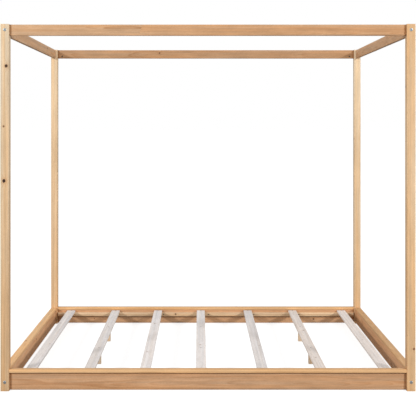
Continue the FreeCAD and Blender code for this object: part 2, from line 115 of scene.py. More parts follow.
# Knots that stand out, for each stick: distance along it from its low end, distance across from its
# middle, radius (all in metres), the axis that the branch runs along, and how dark the knot is. A stick
# with an empty list is clear, and a stick that isn't here may have a few at random.
CHOSEN_KNOTS = {
    "post_front_left": [(1.6650, 0.0080, 0.0078, "Y", 0.95), (1.3560, -0.0050, 0.0045, "Y", 0.45),
                        (1.0770, -0.0035, 0.0085, "Y", 1.00), (0.4200, 0.0110, 0.0040, "X", 0.50)],
    "post_front_right": [(0.2170, 0.0140, 0.0060, "Y", 0.15), (1.5600, 0.0050, 0.0060, "X", 0.60)],
    "post_back_left": [(0.7300, 0.0060, 0.0050, "X", 0.50)],
    "post_back_right": [(1.2700, -0.0080, 0.0055, "X", 0.60)],
    "top_rail_front": [],
    "top_rail_back": [(0.7000, 0.0090, 0.0045, "Y", 0.65)],
    "side_board_front": [],
    "side_cap_front": [],
    "slat_ledger_back": [(0.8050, 0.0030, 0.0050, "Y", 0.80)],
}

# Random knots: about how many metres of wood there are to a knot, where each may lie, as a share of its
# own stretch of the stick and of the face it is on, how big it is and how dark. Some branches run the
# wide way, in a stick that is nearly square.
KNOT_SPACING = 1.3
KNOT_ALONG = (0.2, 0.8)
KNOT_ACROSS = (-0.28, 0.28)
KNOT_RADII = (3.0 * MM, 6.0 * MM)
KNOT_DARKNESS = (0.2, 0.8)
WIDE_BRANCHES = 0.25
NEARLY_SQUARE = 1.5

# The knot of a stick without one, too far away to be seen.
FAR_KNOT = (-900.0, -900.0, -900.0)
FAR_KNOT_LOOK = (1.0 * MM, 0.0, 0.0)

# Where a stick is made up from two lengths with a scarf joint: distance along it from its low end, how
# far the joint leans over the stick's height, and how much lighter the second length is. The second
# length comes from elsewhere in the log.
SCARF_JOINTS = {"top_rail_front": (0.672, 0.022, 0.05)}
BEFORE_JOINT = -1.0
SECOND_LENGTH = (7.3, 0.021, 0.034)

# How much lighter or darker than its kind a stick is, and how golden, where it stands out. Other sticks
# swing a little about their kind.
TONES = {
    "post_front_left": (-0.04, 0.00),
    "post_front_right": (0.06, 0.22),
    "post_back_left": (0.07, -0.05),
    "post_back_right": (0.08, -0.05),
    "top_rail_back": (-0.06, 0.42),
    "side_cap_back": (0.00, -0.20),
    "top_rail_left": (0.20, 0.00),
    "top_rail_right": (0.18, 0.10),
    "end_cap_left": (0.22, 0.00),
    "end_cap_right": (-0.05, 0.15),
    "end_board_left": (0.48, 0.00),
    "end_board_right": (0.38, 0.10),
    "side_board_back": (0.12, 0.00),
    "slat_3": (0.10, 0.00),
    "slat_4": (0.10, 0.00),
    "slat_6": (0.08, 0.34),
    "slat_7": (0.12, 0.24),
}
TONE_SWING = 0.03

# How much more golden, and so darker, each post is at its low end, which is painted shade for the light
# that falls off towards the floor, the front right post at its top too, and the front canopy rail on its
# right, and how fast each of these changes over a stick's whole length.
POST_LOW_SHADE = 0.95
POST_LOW_SHADE_FALL = 1.1
TOP_GOLD = {"post_front_right": 0.75}
TOP_GOLD_FALL = 2.5
RAIL_GOLD = 0.40
RAIL_GOLD_RISE = 2.0

# Boards and canopy rails are painted darker and redder at their ends, over this length: a painted shadow
# of the posts that they meet.
END_PAINTED_SHADOW = 0.22
END_SHADOW_GOLD = 1.0
END_SHADOW_LENGTH = 16 * MM

# How a stick may be cut from its log: how far the log leans, how far along the log the stick starts, and
# how far the log's centre lies outside the stick one way and from its middle the other, which is a share
# of its width. A square stick lies well off the log's centre both ways.
LOG_LEAN = 0.006
LOG_LENGTH = 60.0
THIN_OFFSET = (0.018, 0.060)
WIDE_OFFSET = 0.30
SQUARE = 1.2
SQUARE_OFFSET = (0.015, 0.045)


# ---------------------------------------------------------------- node graphs

class Graph:
    """A material's nodes, made by short calls that give back an output socket."""

    def __init__(self, name):
        self.material = bpy.data.materials.new(name)
        self.material.use_nodes = True
        self.tree = self.material.node_tree
        self.tree.nodes.clear()

    def node(self, kind, inputs=None, **settings):
        made = self.tree.nodes.new(kind)
        for key, value in settings.items():
            setattr(made, key, value)
        for key, value in (inputs or {}).items():
            if isinstance(value, bpy.types.NodeSocket):
                self.tree.links.new(value, made.inputs[key])
            else:
                made.inputs[key].default_value = value
        return made

    def math(self, operation, *values):
        return self.node("ShaderNodeMath", dict(enumerate(values)), operation=operation).outputs[0]

    def total(self, first, *others):
        for other in others:
            first = self.math("ADD", first, other)
        return first

    def product(self, first, *others):
        for other in others:
            first = self.math("MULTIPLY", first, other)
        return first

    def vector(self, operation, *values):
        made = self.node("ShaderNodeVectorMath", dict(enumerate(values)), operation=operation)
        return made.outputs["Value"] if operation == "LENGTH" else made.outputs["Vector"]

    def scaled(self, vector, amount):
        made = self.node("ShaderNodeVectorMath", {"Vector": vector, "Scale": amount}, operation="SCALE")
        return made.outputs["Vector"]

    def attribute(self, name):
        return self.node("ShaderNodeAttribute", attribute_name=name).outputs["Vector"]

    def parts(self, vector):
        return self.node("ShaderNodeSeparateXYZ", {0: vector}).outputs[0:3]

    def noise(self, where, stretch, detail=2.0, roughness=0.5, output="Fac"):
        """Noise whose coordinates are stretched by a factor for each axis."""
        at = self.vector("MULTIPLY", where, stretch)
        inputs = {"Vector": at, "Scale": 1.0, "Detail": detail, "Roughness": roughness}
        return self.node("ShaderNodeTexNoise", inputs).outputs[output]

    def line_noise(self, value, scale):
        inputs = {"W": value, "Scale": scale, "Detail": 1.0}
        return self.node("ShaderNodeTexNoise", inputs, noise_dimensions="1D").outputs["Fac"]

    def about_zero(self, value, size):
        """Takes a noise of 0 to 1 to a swing of size about zero."""
        return self.math("MULTIPLY", self.math("SUBTRACT", value, 0.5), size)

    def ramp(self, factor, stops, interpolation="LINEAR"):
        made = self.node("ShaderNodeValToRGB", {"Fac": factor})
        colours = made.color_ramp
        colours.interpolation = interpolation
        while len(colours.elements) < len(stops):
            colours.elements.new(1.0)
        for element, (place, colour) in zip(colours.elements, stops):
            element.position = place
            element.color = (*colour, 1.0) if isinstance(colour, tuple) else (colour, colour, colour, 1.0)
        return made.outputs["Color"]

    def mix(self, factor, first, second):
        made = self.node("ShaderNodeMix", data_type="RGBA")
        for index, value in ((0, factor), (6, first), (7, second)):
            if isinstance(value, bpy.types.NodeSocket):
                self.tree.links.new(value, made.inputs[index])
            else:
                made.inputs[index].default_value = value if index == 0 else (*value, 1.0)
        return made.outputs[2]

    def tinted(self, colour, tint, factor):
        """The colour, multiplied by a tint as far as the factor says."""
        return self.mix(factor, colour, self.vector("MULTIPLY", colour, tint))

    def finish(self, colour, roughness, height, depth, **settings):
        """Ends the graph in a Principled shader, with a bump of the given depth in metres."""
        bump = self.node("ShaderNodeBump", {"Height": height, "Strength": 1.0, "Distance": depth})
        shader = self.node("ShaderNodeBsdfPrincipled", {
            "Base Color": colour, "Roughness": roughness, "Normal": bump.outputs["Normal"], **settings})
        self.node("ShaderNodeOutputMaterial", {"Surface": shader.outputs[0]})
        return self.material


# ---------------------------------------------------------------- wood's patterns

# How finely each pattern in the wood varies, in steps a metre: along the grain, then across it.
WANDER_STRETCH = (0.9, 5.0, 5.0)
RIPPLE_STRETCH = (6.0, 30.0, 30.0)
FIBRE_STRETCH = (26.0, 900.0, 900.0)
STREAK_STRETCH = (1.1, 105.0, 105.0)
PATCH_STRETCH = (8.0, 46.0, 46.0)
HUE_STRETCH = (1.6, 60.0, 60.0)
FLECK_STRETCH = (75.0, 430.0, 430.0)
SPECKLE_STRETCH = (160.0, 260.0, 260.0)
CRACK_STRETCH = (1.0, 130.0, 130.0)
RUB_STRETCH = (14.0, 60.0, 60.0)

# How far the rings wander and ripple across the grain, in metres, and how far a knot pushes them, in its
# radii. Its push fades along and across the grain.
WANDER = (0.0, 0.040, 0.040)
RIPPLE = (0.0, 0.004, 0.004)
KNOT_PUSH = 2.4
PUSH_FADE_ALONG = 0.09
PUSH_FADE_ACROSS = 0.30

# How uneven the rings' widths are, how strong a ring is and how much that differs from year to year, and
# a year from its pale early wood to its late wood.
RING_FINENESS = 160.0
RING_SWING = 2.6
YEAR_STRENGTH = 0.62
YEAR_SWING = 1.5
YEAR_FINENESS = 7.31
YEAR_STOPS = [(0.0, 0.08), (0.40, 0.16), (0.74, 0.62), (0.90, 1.0), (0.965, 0.60), (1.0, 0.08)]

# How much the fibres and streaks swing, and how strongly flecks, glue, end grain and rubbing show.
FIBRE_SWING = 0.30
STREAK_SWING = 0.52
FLECK_STRENGTH = 0.30
GLUE_STRENGTH = 0.5
END_STRENGTH = 0.8
RUB_STRENGTH = 0.5

# Half the width of a glue line, and how fine the drying cracks are.
GLUE_HALF_WIDTH = 0.25 * MM
CRACK_FINENESS = 55.0

# What the colour is multiplied by where the wood is golden or painted shade falls, flecked, glued, near a
# knot or end grain, the colour of a drying crack, and how rubbing lightens the wood.
GOLD_AND_SHADE_TINT = (0.83, 0.69, 0.55)
FLECK_TINT = (0.74, 0.62, 0.50)
GLUE_TINT = (0.62, 0.50, 0.40)
HALO_TINT = (0.74, 0.56, 0.42)
END_TINT = (0.80, 0.69, 0.58)
CRACK_COLOUR = (0.10, 0.05, 0.025)
RUBBED_SCALE = 1.05
RUBBED_LIFT = (0.025, 0.022, 0.016)

# How the hue changes where it is warm and where it is cool, and the noise that hues, flecks and drying
# cracks show at.
WARM = (0.04, -0.03, -0.12)
COOL = (-0.03, 0.02, 0.09)
HUE_STOPS = [(0.32, 0.0), (0.68, 1.0)]
FLECK_STOPS = [(0.60, 0.0), (0.74, 1.0)]
CRACK_STOPS = [(0.66, 0.0), (0.72, 1.0)]

# What fibres, late wood and end grain add to the roughness, and how high each pattern stands.
FIBRE_ROUGHNESS = 0.16
LATE_ROUGHNESS = -0.08
END_ROUGHNESS = 0.15
LATE_HEIGHT = 0.35
FIBRE_HEIGHT = 0.6
KNOT_HEIGHT = 0.5
CRACK_HEIGHT = -1.5
RELIEF = 0.18 * MM
WOOD_SHINE = 0.30

# A knot from its middle out: its ragged outline, its halo, and the rings of a red and a dark knot.
KNOT_OUTLINE = (0.85, 1.0, 0.0)
RAGGED_STRETCH = (1.2, 1.2, 1.0)
RAGGED_SWING = 0.6
HALO_WIDTH = 4.0
HALO_STOPS = [(0.0, 0.80), (0.27, 0.50), (0.60, 0.12), (1.0, 0.0)]
KNOT_STOPS = [(0.0, 1.0), (0.88, 1.0), (1.0, 0.0)]
RED_KNOT = [(0.0, (0.20, 0.085, 0.035)), (0.25, (0.36, 0.17, 0.075)), (0.5, (0.24, 0.10, 0.042)),
            (0.8, (0.33, 0.15, 0.065)), (0.96, (0.10, 0.042, 0.020))]
DARK_KNOT = [(0.0, (0.020, 0.010, 0.006)), (0.35, (0.065, 0.026, 0.012)), (0.55, (0.030, 0.013, 0.007)),
             (0.8, (0.060, 0.024, 0.011)), (0.96, (0.018, 0.009, 0.006))]


class NearKnot:
    """The nearest knot as a graph reads it: seen along its branch, in knot radii."""

    def __init__(self, g, grain):
        self.radius, branch_wide, self.darkness = g.parts(g.attribute("knot_look"))
        offset = g.parts(g.vector("SUBTRACT", grain, g.attribute("knot_centre")))
        sideways = g.node("ShaderNodeMix", {0: branch_wide, 2: offset[2], 3: offset[1]}).outputs[0]
        self.metres_along = offset[0]
        self.along = g.math("DIVIDE", offset[0], self.radius)
        self.across = g.math("DIVIDE", sideways, self.radius)


def growth_rings(g, place, knot, ring_width, ring_contrast):
    """How much late wood shows: rings about the log's centre, bent by slow wandering and round knots."""
    half = (0.5, 0.5, 0.5)
    wander = g.vector("SUBTRACT", g.noise(place, WANDER_STRETCH, 2.0, output="Color"), half)
    ripple = g.vector("SUBTRACT", g.noise(place, RIPPLE_STRETCH, 1.0, output="Color"), half)
    bent = g.vector("ADD", place, g.vector("MULTIPLY", wander, WANDER))
    bent = g.vector("ADD", bent, g.vector("MULTIPLY", ripple, RIPPLE))
    squeeze = g.total(g.product(knot.along, knot.along, PUSH_FADE_ALONG),
                      g.product(knot.across, knot.across, PUSH_FADE_ACROSS))
    flow = g.math("EXPONENT", g.product(squeeze, -1.0))
    from_pith = g.vector("LENGTH", g.vector("MULTIPLY", bent, (0.0, 1.0, 1.0)))
    from_pith = g.total(from_pith, g.product(flow, knot.radius, KNOT_PUSH))
    year = g.total(g.math("DIVIDE", from_pith, ring_width),
                   g.about_zero(g.line_noise(from_pith, RING_FINENESS), RING_SWING))
    ring = g.ramp(g.math("FRACT", year), YEAR_STOPS)
    own_year = g.line_noise(g.math("FLOOR", year), YEAR_FINENESS)
    strength = g.total(YEAR_STRENGTH, g.about_zero(own_year, YEAR_SWING))
    late_share = g.product(ring, strength, ring_contrast)
    return g.node("ShaderNodeClamp", {"Value": late_share}).outputs[0]


def knotted(g, colour, knot, knot_fade):
    """The colour with its knots, and where they are: each has a dark rim of bark round rings of its own,
    in a darker, resinous halo."""
    seen = g.node("ShaderNodeCombineXYZ", {0: knot.along, 1: knot.across, 2: knot.metres_along}).outputs[0]
    ragged = g.about_zero(g.noise(seen, RAGGED_STRETCH, 3.0, 0.6), RAGGED_SWING)
    reach = g.total(g.vector("LENGTH", g.vector("MULTIPLY", seen, KNOT_OUTLINE)), ragged)
    halo = g.ramp(g.math("DIVIDE", reach, HALO_WIDTH), HALO_STOPS, "EASE")
    colour = g.tinted(colour, HALO_TINT, g.product(halo, knot.darkness))
    mask = g.ramp(reach, KNOT_STOPS, "EASE")
    heart = g.mix(knot.darkness, g.ramp(reach, RED_KNOT), g.ramp(reach, DARK_KNOT))
    return g.mix(g.product(mask, 1.0 - knot_fade), colour, heart), mask


# ---------------------------------------------------------------- materials

# Steel's cloudy film and handling marks: how fine they are, where the film shows, and what they change.
CLOUD_STRETCH = (420.0, 420.0, 420.0)
SCRATCH_STRETCH = (2600.0, 900.0, 2600.0)
CLOUD_STOPS = [(0.38, 0.0), (0.72, 1.0)]
SCRATCH_SHADE = 0.22
CLOUD_ROUGHNESS = 0.22
SCRATCH_ROUGHNESS = 0.10
SCRATCH_DEPTH = 0.03 * MM


def wood(name, early, late, ring_width, ring_contrast=0.95, mottle=0.16, speckle=0.09, roughness=0.55,
         hue_swing=1.0, knot_fade=0.0):
    """Solid wood: growth rings about the log's centre, fibres, mottling, knots, end grain and worn edges.

    It reads what each stick's mesh holds. "grain" is the place in the log, in metres: along the grain,
    then across the stick's thin and wide ways from the log's centre. "trait" is the stick's own tone, how
    golden it is, and how much lighter it is past a scarf joint; its tone and gold also carry painted shade
    at the posts' low ends and a painted shadow of the posts at the ends of boards and rails. "wear" is 1
    on a worn edge, 1 on end grain, and the distance past the scarf joint. "knot_centre" is the nearest
    knot's place in the log, and "knot_look" is its radius, 1 if its branch runs the wide way, and how dark
    it is.
    """
    g = Graph(name)
    grain = g.attribute("grain")
    tone, gold_and_shade, joint_tone = g.parts(g.attribute("trait"))
    edge, end, past_joint = g.parts(g.attribute("wear"))
    knot = NearKnot(g, grain)

    second = g.math("GREATER_THAN", past_joint, 0.0)
    glue_line = g.math("LESS_THAN", g.math("ABSOLUTE", past_joint), GLUE_HALF_WIDTH)
    place = g.vector("ADD", grain, g.scaled(SECOND_LENGTH, second))
    late_share = growth_rings(g, place, knot, ring_width, ring_contrast)
    colour = g.mix(late_share, early, late)

    # Fibres, long streaks, patches and specks make it lighter and darker, and so does the stick's tone,
    # which also holds a painted shadow at the ends of boards and rails.
    fibre = g.noise(place, FIBRE_STRETCH, 3.0, 0.6)
    streak = g.noise(place, STREAK_STRETCH)
    patch = g.noise(place, PATCH_STRETCH, 2.0, 0.55)
    specks = g.noise(place, SPECKLE_STRETCH)
    shade = g.total(1.0, g.about_zero(fibre, FIBRE_SWING), g.about_zero(streak, STREAK_SWING),
                    g.about_zero(patch, mottle * 2.0), g.about_zero(specks, speckle * 3.0),
                    tone, g.product(second, joint_tone))
    colour = g.scaled(colour, shade)

    # Its hue swings from warm to cool, and it is golden, flecked and glued in places. The golden tint also
    # paints shade on the posts' low ends and the posts' shadow at the ends of boards and rails.
    hue = g.noise(place, HUE_STRETCH)
    fleck = g.ramp(g.noise(place, FLECK_STRETCH, 1.0), FLECK_STOPS)
    warm = tuple(1.0 + hue_swing * change for change in WARM)
    cool = tuple(1.0 + hue_swing * change for change in COOL)
    colour = g.mix(g.ramp(hue, HUE_STOPS), g.vector("MULTIPLY", colour, warm),
                   g.vector("MULTIPLY", colour, cool))
    colour = g.tinted(colour, GOLD_AND_SHADE_TINT, gold_and_shade)
    colour = g.tinted(colour, FLECK_TINT, g.product(fleck, FLECK_STRENGTH))
    colour = g.tinted(colour, GLUE_TINT, g.product(glue_line, GLUE_STRENGTH))
    colour, knot_mask = knotted(g, colour, knot, knot_fade)

    # End grain is darker, with fine drying cracks that run out from the log's centre.
    _, thin_place, wide_place = g.parts(place)
    round_log = g.math("ARCTAN2", thin_place, wide_place)
    crack = g.ramp(g.line_noise(round_log, CRACK_FINENESS), CRACK_STOPS)
    crack = g.product(crack, end, g.noise(place, CRACK_STRETCH))
    colour = g.tinted(colour, END_TINT, g.product(end, END_STRENGTH))
    colour = g.mix(crack, colour, CRACK_COLOUR)
    worn = g.product(g.noise(grain, RUB_STRETCH), RUB_STRENGTH, edge)
    colour = g.mix(worn, colour, g.vector("ADD", g.scaled(colour, RUBBED_SCALE), RUBBED_LIFT))

    matt = g.total(roughness, g.about_zero(fibre, FIBRE_ROUGHNESS),
                   g.product(late_share, LATE_ROUGHNESS), g.product(end, END_ROUGHNESS))
    height = g.total(g.product(late_share, LATE_HEIGHT), g.product(fibre, FIBRE_HEIGHT),
                     g.product(knot_mask, KNOT_HEIGHT), g.product(crack, CRACK_HEIGHT))
    return g.finish(colour, matt, height, RELIEF, **{"Specular IOR Level": WOOD_SHINE})


def steel(name, colour, film, roughness):
    """Zinc-plated steel with a cloudy passivated film and fine handling marks."""
    g = Graph(name)
    place = g.node("ShaderNodeTexCoord").outputs["Object"]
    cloud = g.noise(place, CLOUD_STRETCH, 3.0, 0.6)
    scratch = g.noise(place, SCRATCH_STRETCH)
    filmed = g.mix(g.ramp(cloud, CLOUD_STOPS), colour, film)
    filmed = g.scaled(filmed, g.total(1.0, g.about_zero(scratch, SCRATCH_SHADE)))
    matt = g.total(roughness, g.about_zero(cloud, CLOUD_ROUGHNESS),
                   g.about_zero(scratch, SCRATCH_ROUGHNESS))
    return g.finish(filmed, matt, scratch, SCRATCH_DEPTH, **{"Metallic": 1.0})


# Each kind of wood: the colours of its early and late wood, its rings' width and what else sets it apart.
WOODS = {
    "post_pine": dict(early=(0.800, 0.617, 0.412), late=(0.640, 0.420, 0.231), ring_width=3.8 * MM),
    "rail_pine": dict(early=(0.600, 0.372, 0.210), late=(0.470, 0.245, 0.112), ring_width=3.3 * MM,
                      mottle=0.22),
    "board_pine": dict(early=(0.590, 0.346, 0.190), late=(0.460, 0.228, 0.102), ring_width=3.3 * MM,
                       mottle=0.22),
    "cap_pine": dict(early=(0.760, 0.470, 0.235), late=(0.610, 0.320, 0.130), ring_width=3.4 * MM),
    "ledger_pine": dict(early=(0.780, 0.560, 0.355), late=(0.624, 0.380, 0.200), ring_width=3.0 * MM),
    "slat_wood": dict(early=(0.865, 0.815, 0.790), late=(0.770, 0.695, 0.655), ring_width=2.9 * MM,
                      ring_contrast=0.7, mottle=0.12, speckle=0.20, roughness=0.68, hue_swing=0.3,
                      knot_fade=0.45),
    "leg_pine": dict(early=(0.780, 0.600, 0.420), late=(0.624, 0.408, 0.235), ring_width=2.8 * MM),
    "dowel_beech": dict(early=(0.66, 0.47, 0.29), late=(0.55, 0.36, 0.20), ring_width=1.6 * MM,
                        ring_contrast=0.4, mottle=0.04),
}

# Each kind of steel: its own colour, its film's colour and its roughness.
STEELS = {
    "bolt_steel": dict(colour=(0.52, 0.60, 0.65), film=(0.38, 0.43, 0.46), roughness=0.40),
    "nut_steel": dict(colour=(0.24, 0.21, 0.17), film=(0.14, 0.12, 0.10), roughness=0.50),
    "screw_steel": dict(colour=(0.30, 0.27, 0.22), film=(0.18, 0.15, 0.12), roughness=0.40),
}


# ---------------------------------------------------------------- hardware places

class Spot:
    """Where one piece of hardware lies: its outer end, the way it points in, and its length. It lies
    along its longest side and faces away from the bed's middle, unless outward gives an axis and sign."""

    def __init__(self, low, high, outward=None):
        size = high - low
        middle = (low + high) / 2
        self.axis = outward[0] if outward else max(range(3), key=lambda i: size[i])
        sign = outward[1] if outward else math.copysign(1.0, middle[self.axis])
        self.start = middle
        self.start[self.axis] = high[self.axis] if sign > 0 else low[self.axis]
        self.inward = Vector((0.0, 0.0, 0.0))
        self.inward[self.axis] = -sign
        self.length = size[self.axis]

    def matrix(self, depth=0.0):
        """Stands a shape made along Z at this depth in the spot, pointing in."""
        turn = Vector((0.0, 0.0, 1.0)).rotation_difference(self.inward).to_matrix().to_4x4()
        return Matrix.Translation(self.start + self.inward * depth) @ turn

    def starts_in(self, low, high, reach=1.0 * MM):
        """True if the piece starts on or in the box."""
        return all(low[i] - reach <= self.start[i] <= high[i] + reach for i in range(3))

    def from_face(self, low, high):
        """The same spot, started on the face of the box that it sits in."""
        longer = copy.copy(self)
        longer.start = self.start.copy()
        longer.start[self.axis] = low[self.axis] if self.inward[self.axis] > 0 else high[self.axis]
        end = self.start[self.axis] + self.inward[self.axis] * self.length
        longer.length = abs(end - longer.start[self.axis])
        return longer


def solids(node):
    """The (lowest corner, highest corner) of each separate solid in a CAD node, in a fixed order."""
    mesh = bmesh.new()
    mesh.from_mesh(frame["nodes"][node].data)
    bmesh.ops.remove_doubles(mesh, verts=mesh.verts, dist=1e-6)
    waiting = set(mesh.verts)
    boxes = []
    while waiting:
        edge_of_search = [waiting.pop()]
        found = []
        while edge_of_search:
            vertex = edge_of_search.pop()
            found.append(tuple(vertex.co))
            for link in vertex.link_edges:
                other = link.other_vert(vertex)
                if other in waiting:
                    waiting.remove(other)
                    edge_of_search.append(other)
        points = np.array(found)
        boxes.append((Vector(points.min(0)), Vector(points.max(0))))
    mesh.free()
    return sorted(boxes, key=lambda box: tuple(round(value, 4) for value in box[0]))


def holds(node, point):
    """True if the point lies in the CAD node's box."""
    low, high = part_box(node)
    return all(low[i] <= point[i] <= high[i] for i in range(3))


def nut_spot(low, high):
    """A barrel nut lies across its rail, open on the side that faces the middle of the bed."""
    middle = (low + high) / 2
    rails = [node for node in SLOTS if SLOTS[node] in ("rail_pine", "board_pine") and holds(node, middle)]
    rail_low, rail_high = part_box(rails[0])
    across = min(range(2), key=lambda i: (rail_high - rail_low)[i])
    return Spot(low, high, (across, -math.copysign(1.0, middle[across])))


def ledger_screw_spot(low, high):
    """A ledger screw has its head on the side that faces the middle of the bed."""
    return Spot(low, high, (1, -math.copysign(1.0, (low + high)[1])))


def upright_spot(low, high):
    """A piece that goes in from above."""
    return Spot(low, high, (2, 1.0))


SPOT_KINDS = {
    "end_rail_bolts": Spot,
    "side_rail_bolts": Spot,
    "barrel_nuts": nut_spot,
    "rail_dowels": Spot,
    "cap_dowels": upright_spot,
    "slat_screws": upright_spot,
    "leg_screws": upright_spot,
    "ledger_screws": ledger_screw_spot,
}
SPOTS = {node: [kind(low, high) for low, high in solids(node)] for node, kind in SPOT_KINDS.items()}

BOLT_HEAD_RADIUS = 8.0 * MM
BOLT_HEAD_DEPTH = 2.5 * MM
NUT_RADIUS = 5.0 * MM
SCREW_HEAD_RADIUS = 4.0 * MM
SCREW_HEAD_DEPTH = 3.0 * MM
DOWEL_RADIUS = 4.0 * MM
FIT = 0.25 * MM
PLUG_PROUD = 1.5 * MM
PLUG_SEGMENTS = 40

# The hardware that shows in each kind of stick, and the radius and depth of the recess it sits in. A
# nut's recess has no depth of its own: it runs from the stick's face to just past the nut.
RECESSES = {
    "post_pine": (("end_rail_bolts", "side_rail_bolts"), BOLT_HEAD_RADIUS, BOLT_HEAD_DEPTH + FIT),
    "rail_pine": (("barrel_nuts",), NUT_RADIUS, None),
    "board_pine": (("barrel_nuts",), NUT_RADIUS, None),
    "slat_wood": (("slat_screws", "leg_screws"), SCREW_HEAD_RADIUS, SCREW_HEAD_DEPTH),
    "ledger_pine": (("ledger_screws",), SCREW_HEAD_RADIUS, SCREW_HEAD_DEPTH),
}


# ---------------------------------------------------------------- pieces of any kind

def new_object(name, data):
    made = bpy.data.objects.new(name, data)
    bpy.context.scene.collection.objects.link(made)
    return made


def filled_mesh(name, whole):
    """A mesh with a bmesh's shape. The bmesh is freed."""
    mesh = bpy.data.meshes.new(name)
    whole.to_mesh(mesh)
    whole.free()
    return mesh


def cut_away(piece, tools):
    """Takes the shapes in a bmesh out of a piece."""
    cutting = new_object("tools", filled_mesh("tools", tools))
    modifier = piece.modifiers.new("cut", "BOOLEAN")
    modifier.operation = "DIFFERENCE"
    modifier.solver = "EXACT"
    modifier.object = cutting
    graph = bpy.context.evaluated_depsgraph_get()
    cut = bpy.data.meshes.new_from_object(piece.evaluated_get(graph))
    piece.modifiers.remove(modifier)
    piece.data = cut
    bpy.data.objects.remove(cutting)


def crease(mesh, degrees):
    """Smooth shading, with a crease where faces meet at more than an angle."""
    mesh.shade_smooth()
    mesh.set_sharp_from_angle(angle=math.radians(degrees))


def write_vectors(mesh, name, domain, values):
    attribute = mesh.attributes.new(name, "FLOAT_VECTOR", domain)
    attribute.data.foreach_set("vector", np.asarray(values, dtype=np.float32).ravel())


def settle(piece, node, material):
    """Gives a piece its material and ties it to the frame."""
    piece.data.materials.clear()
    piece.data.materials.append(material)
    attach(piece, "root")
    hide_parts(node)


# ---------------------------------------------------------------- sticks of wood

def outline(half_b, half_c, radius, inset):
    """Points round a rounded rectangle that is taken in by an inset, with their outward directions and
    how far each is round an edge, from 0 on a face to 1 at the edge's middle."""
    corner = max(radius - inset, LEAST_ROUNDING * radius)
    side_steps = [max(1, round(2 * (half - radius) / SIDE_STEP)) for half in (half_b, half_c)]
    reach = np.array((half_b, half_c)) - inset - corner
    quarter = math.pi / 2
    points = []
    normals = []
    rounds = []
    for side in range(4):
        centre = reach * CORNERS[side]
        next_centre = reach * CORNERS[(side + 1) % 4]
        for step in range(ARC_STEPS + 1):
            angle = quarter * (side + step / ARC_STEPS)
            direction = np.array((math.cos(angle), math.sin(angle)))
            points.append(centre + corner * direction)
            normals.append(direction)
            rounds.append(math.sin(math.pi * step / ARC_STEPS))
        angle = quarter * (side + 1)
        direction = np.array((round(math.cos(angle)), round(math.sin(angle))))
        steps = side_steps[side % 2]
        for step in range(1, steps):
            points.append(centre + (next_centre - centre) * (step / steps) + corner * direction)
            normals.append(direction)
            rounds.append(0.0)
    return np.array(points), np.array(normals), np.array(rounds)


def stations(length):
    """Places along a stick and how far its outline is taken in there, with both ends eased."""
    count = max(2, round(length / STATION_STEP)) + 1
    inner = np.linspace(-length / 2 + END_ROUND, length / 2 - END_ROUND, count)
    tail = []
    for step in range(1, END_STEPS + 1):
        turn = math.pi / 2 * step / END_STEPS
        tail.append((length / 2 - END_ROUND * (1 - math.sin(turn)), END_ROUND * (1 - math.cos(turn))))
    head = [(-place, inset) for place, inset in reversed(tail)]
    return head + [(place, 0.0) for place in inner] + tail


def taken_off(at, wear):
    """How far a point is taken in by rubbing and nicks, which wear scales, and by planing."""
    rub = max(0.0, noise.noise(at * RUB_FINENESS) - RUB_LEVEL)
    nick = max(0.0, noise.noise(at * NICK_FINENESS) - NICK_LEVEL) * NICK_DEPTH
    return (rub + nick) * wear + (0.5 + 0.5 * noise.noise(at)) * FLAT_WANDER


def stick_mesh(name, low, high, radius, wear):
    """A planed stick between two corners, with eased, slightly worn edges, and the axis it runs along."""
    size = high - low
    middle = (low + high) / 2
    grain_axis = max(range(3), key=lambda i: size[i])
    b_axis = (grain_axis + 1) % 3
    c_axis = (grain_axis + 2) % 3
    seed = random.Random(name).uniform(0.0, WEAR_START)
    rings = []
    vertices = []
    for place, inset in stations(size[grain_axis]):
        ring = []
        for point, normal, roundness in zip(*outline(size[b_axis] / 2, size[c_axis] / 2, radius, inset)):
            at = Vector((place * WEAR_ALONG + seed, point[0] * WEAR_ACROSS, point[1] * WEAR_ACROSS))
            taken = taken_off(at, wear * roundness)
            local = Vector((0.0, 0.0, 0.0))
            local[grain_axis] = place
            local[b_axis] = point[0] - normal[0] * taken
            local[c_axis] = point[1] - normal[1] * taken
            ring.append(len(vertices))
            vertices.append(middle + local)
        rings.append(ring)
    faces = []
    for first, second in zip(rings, rings[1:]):
        for i in range(len(first)):
            j = (i + 1) % len(first)
            faces.append((first[i], first[j], second[j], second[i]))
    faces.append(tuple(reversed(rings[0])))
    faces.append(tuple(rings[-1]))
    mesh = bpy.data.meshes.new(name)
    mesh.from_pydata(vertices, [], faces)
    mesh.update()
    return mesh, grain_axis


def cut_recesses(piece, node, low, high):
    """Takes out the recesses that can be seen, with round plugs that stand a little proud of the face."""
    if SLOTS[node] not in RECESSES:
        return
    hardware, radius, depth = RECESSES[SLOTS[node]]
    spots = [spot for each in hardware for spot in SPOTS[each] if spot.starts_in(low, high)]
    if not spots:
        return
    plugs = bmesh.new()
    for spot in spots:
        if depth is None:
            spot = spot.from_face(low, high)
        reach = spot.length + FIT if depth is None else depth
        bmesh.ops.create_cone(plugs, cap_ends=True, segments=PLUG_SEGMENTS, radius1=radius + FIT,
                              radius2=radius + FIT, depth=reach + PLUG_PROUD,
                              matrix=spot.matrix((reach - PLUG_PROUD) / 2))
    cut_away(piece, plugs)


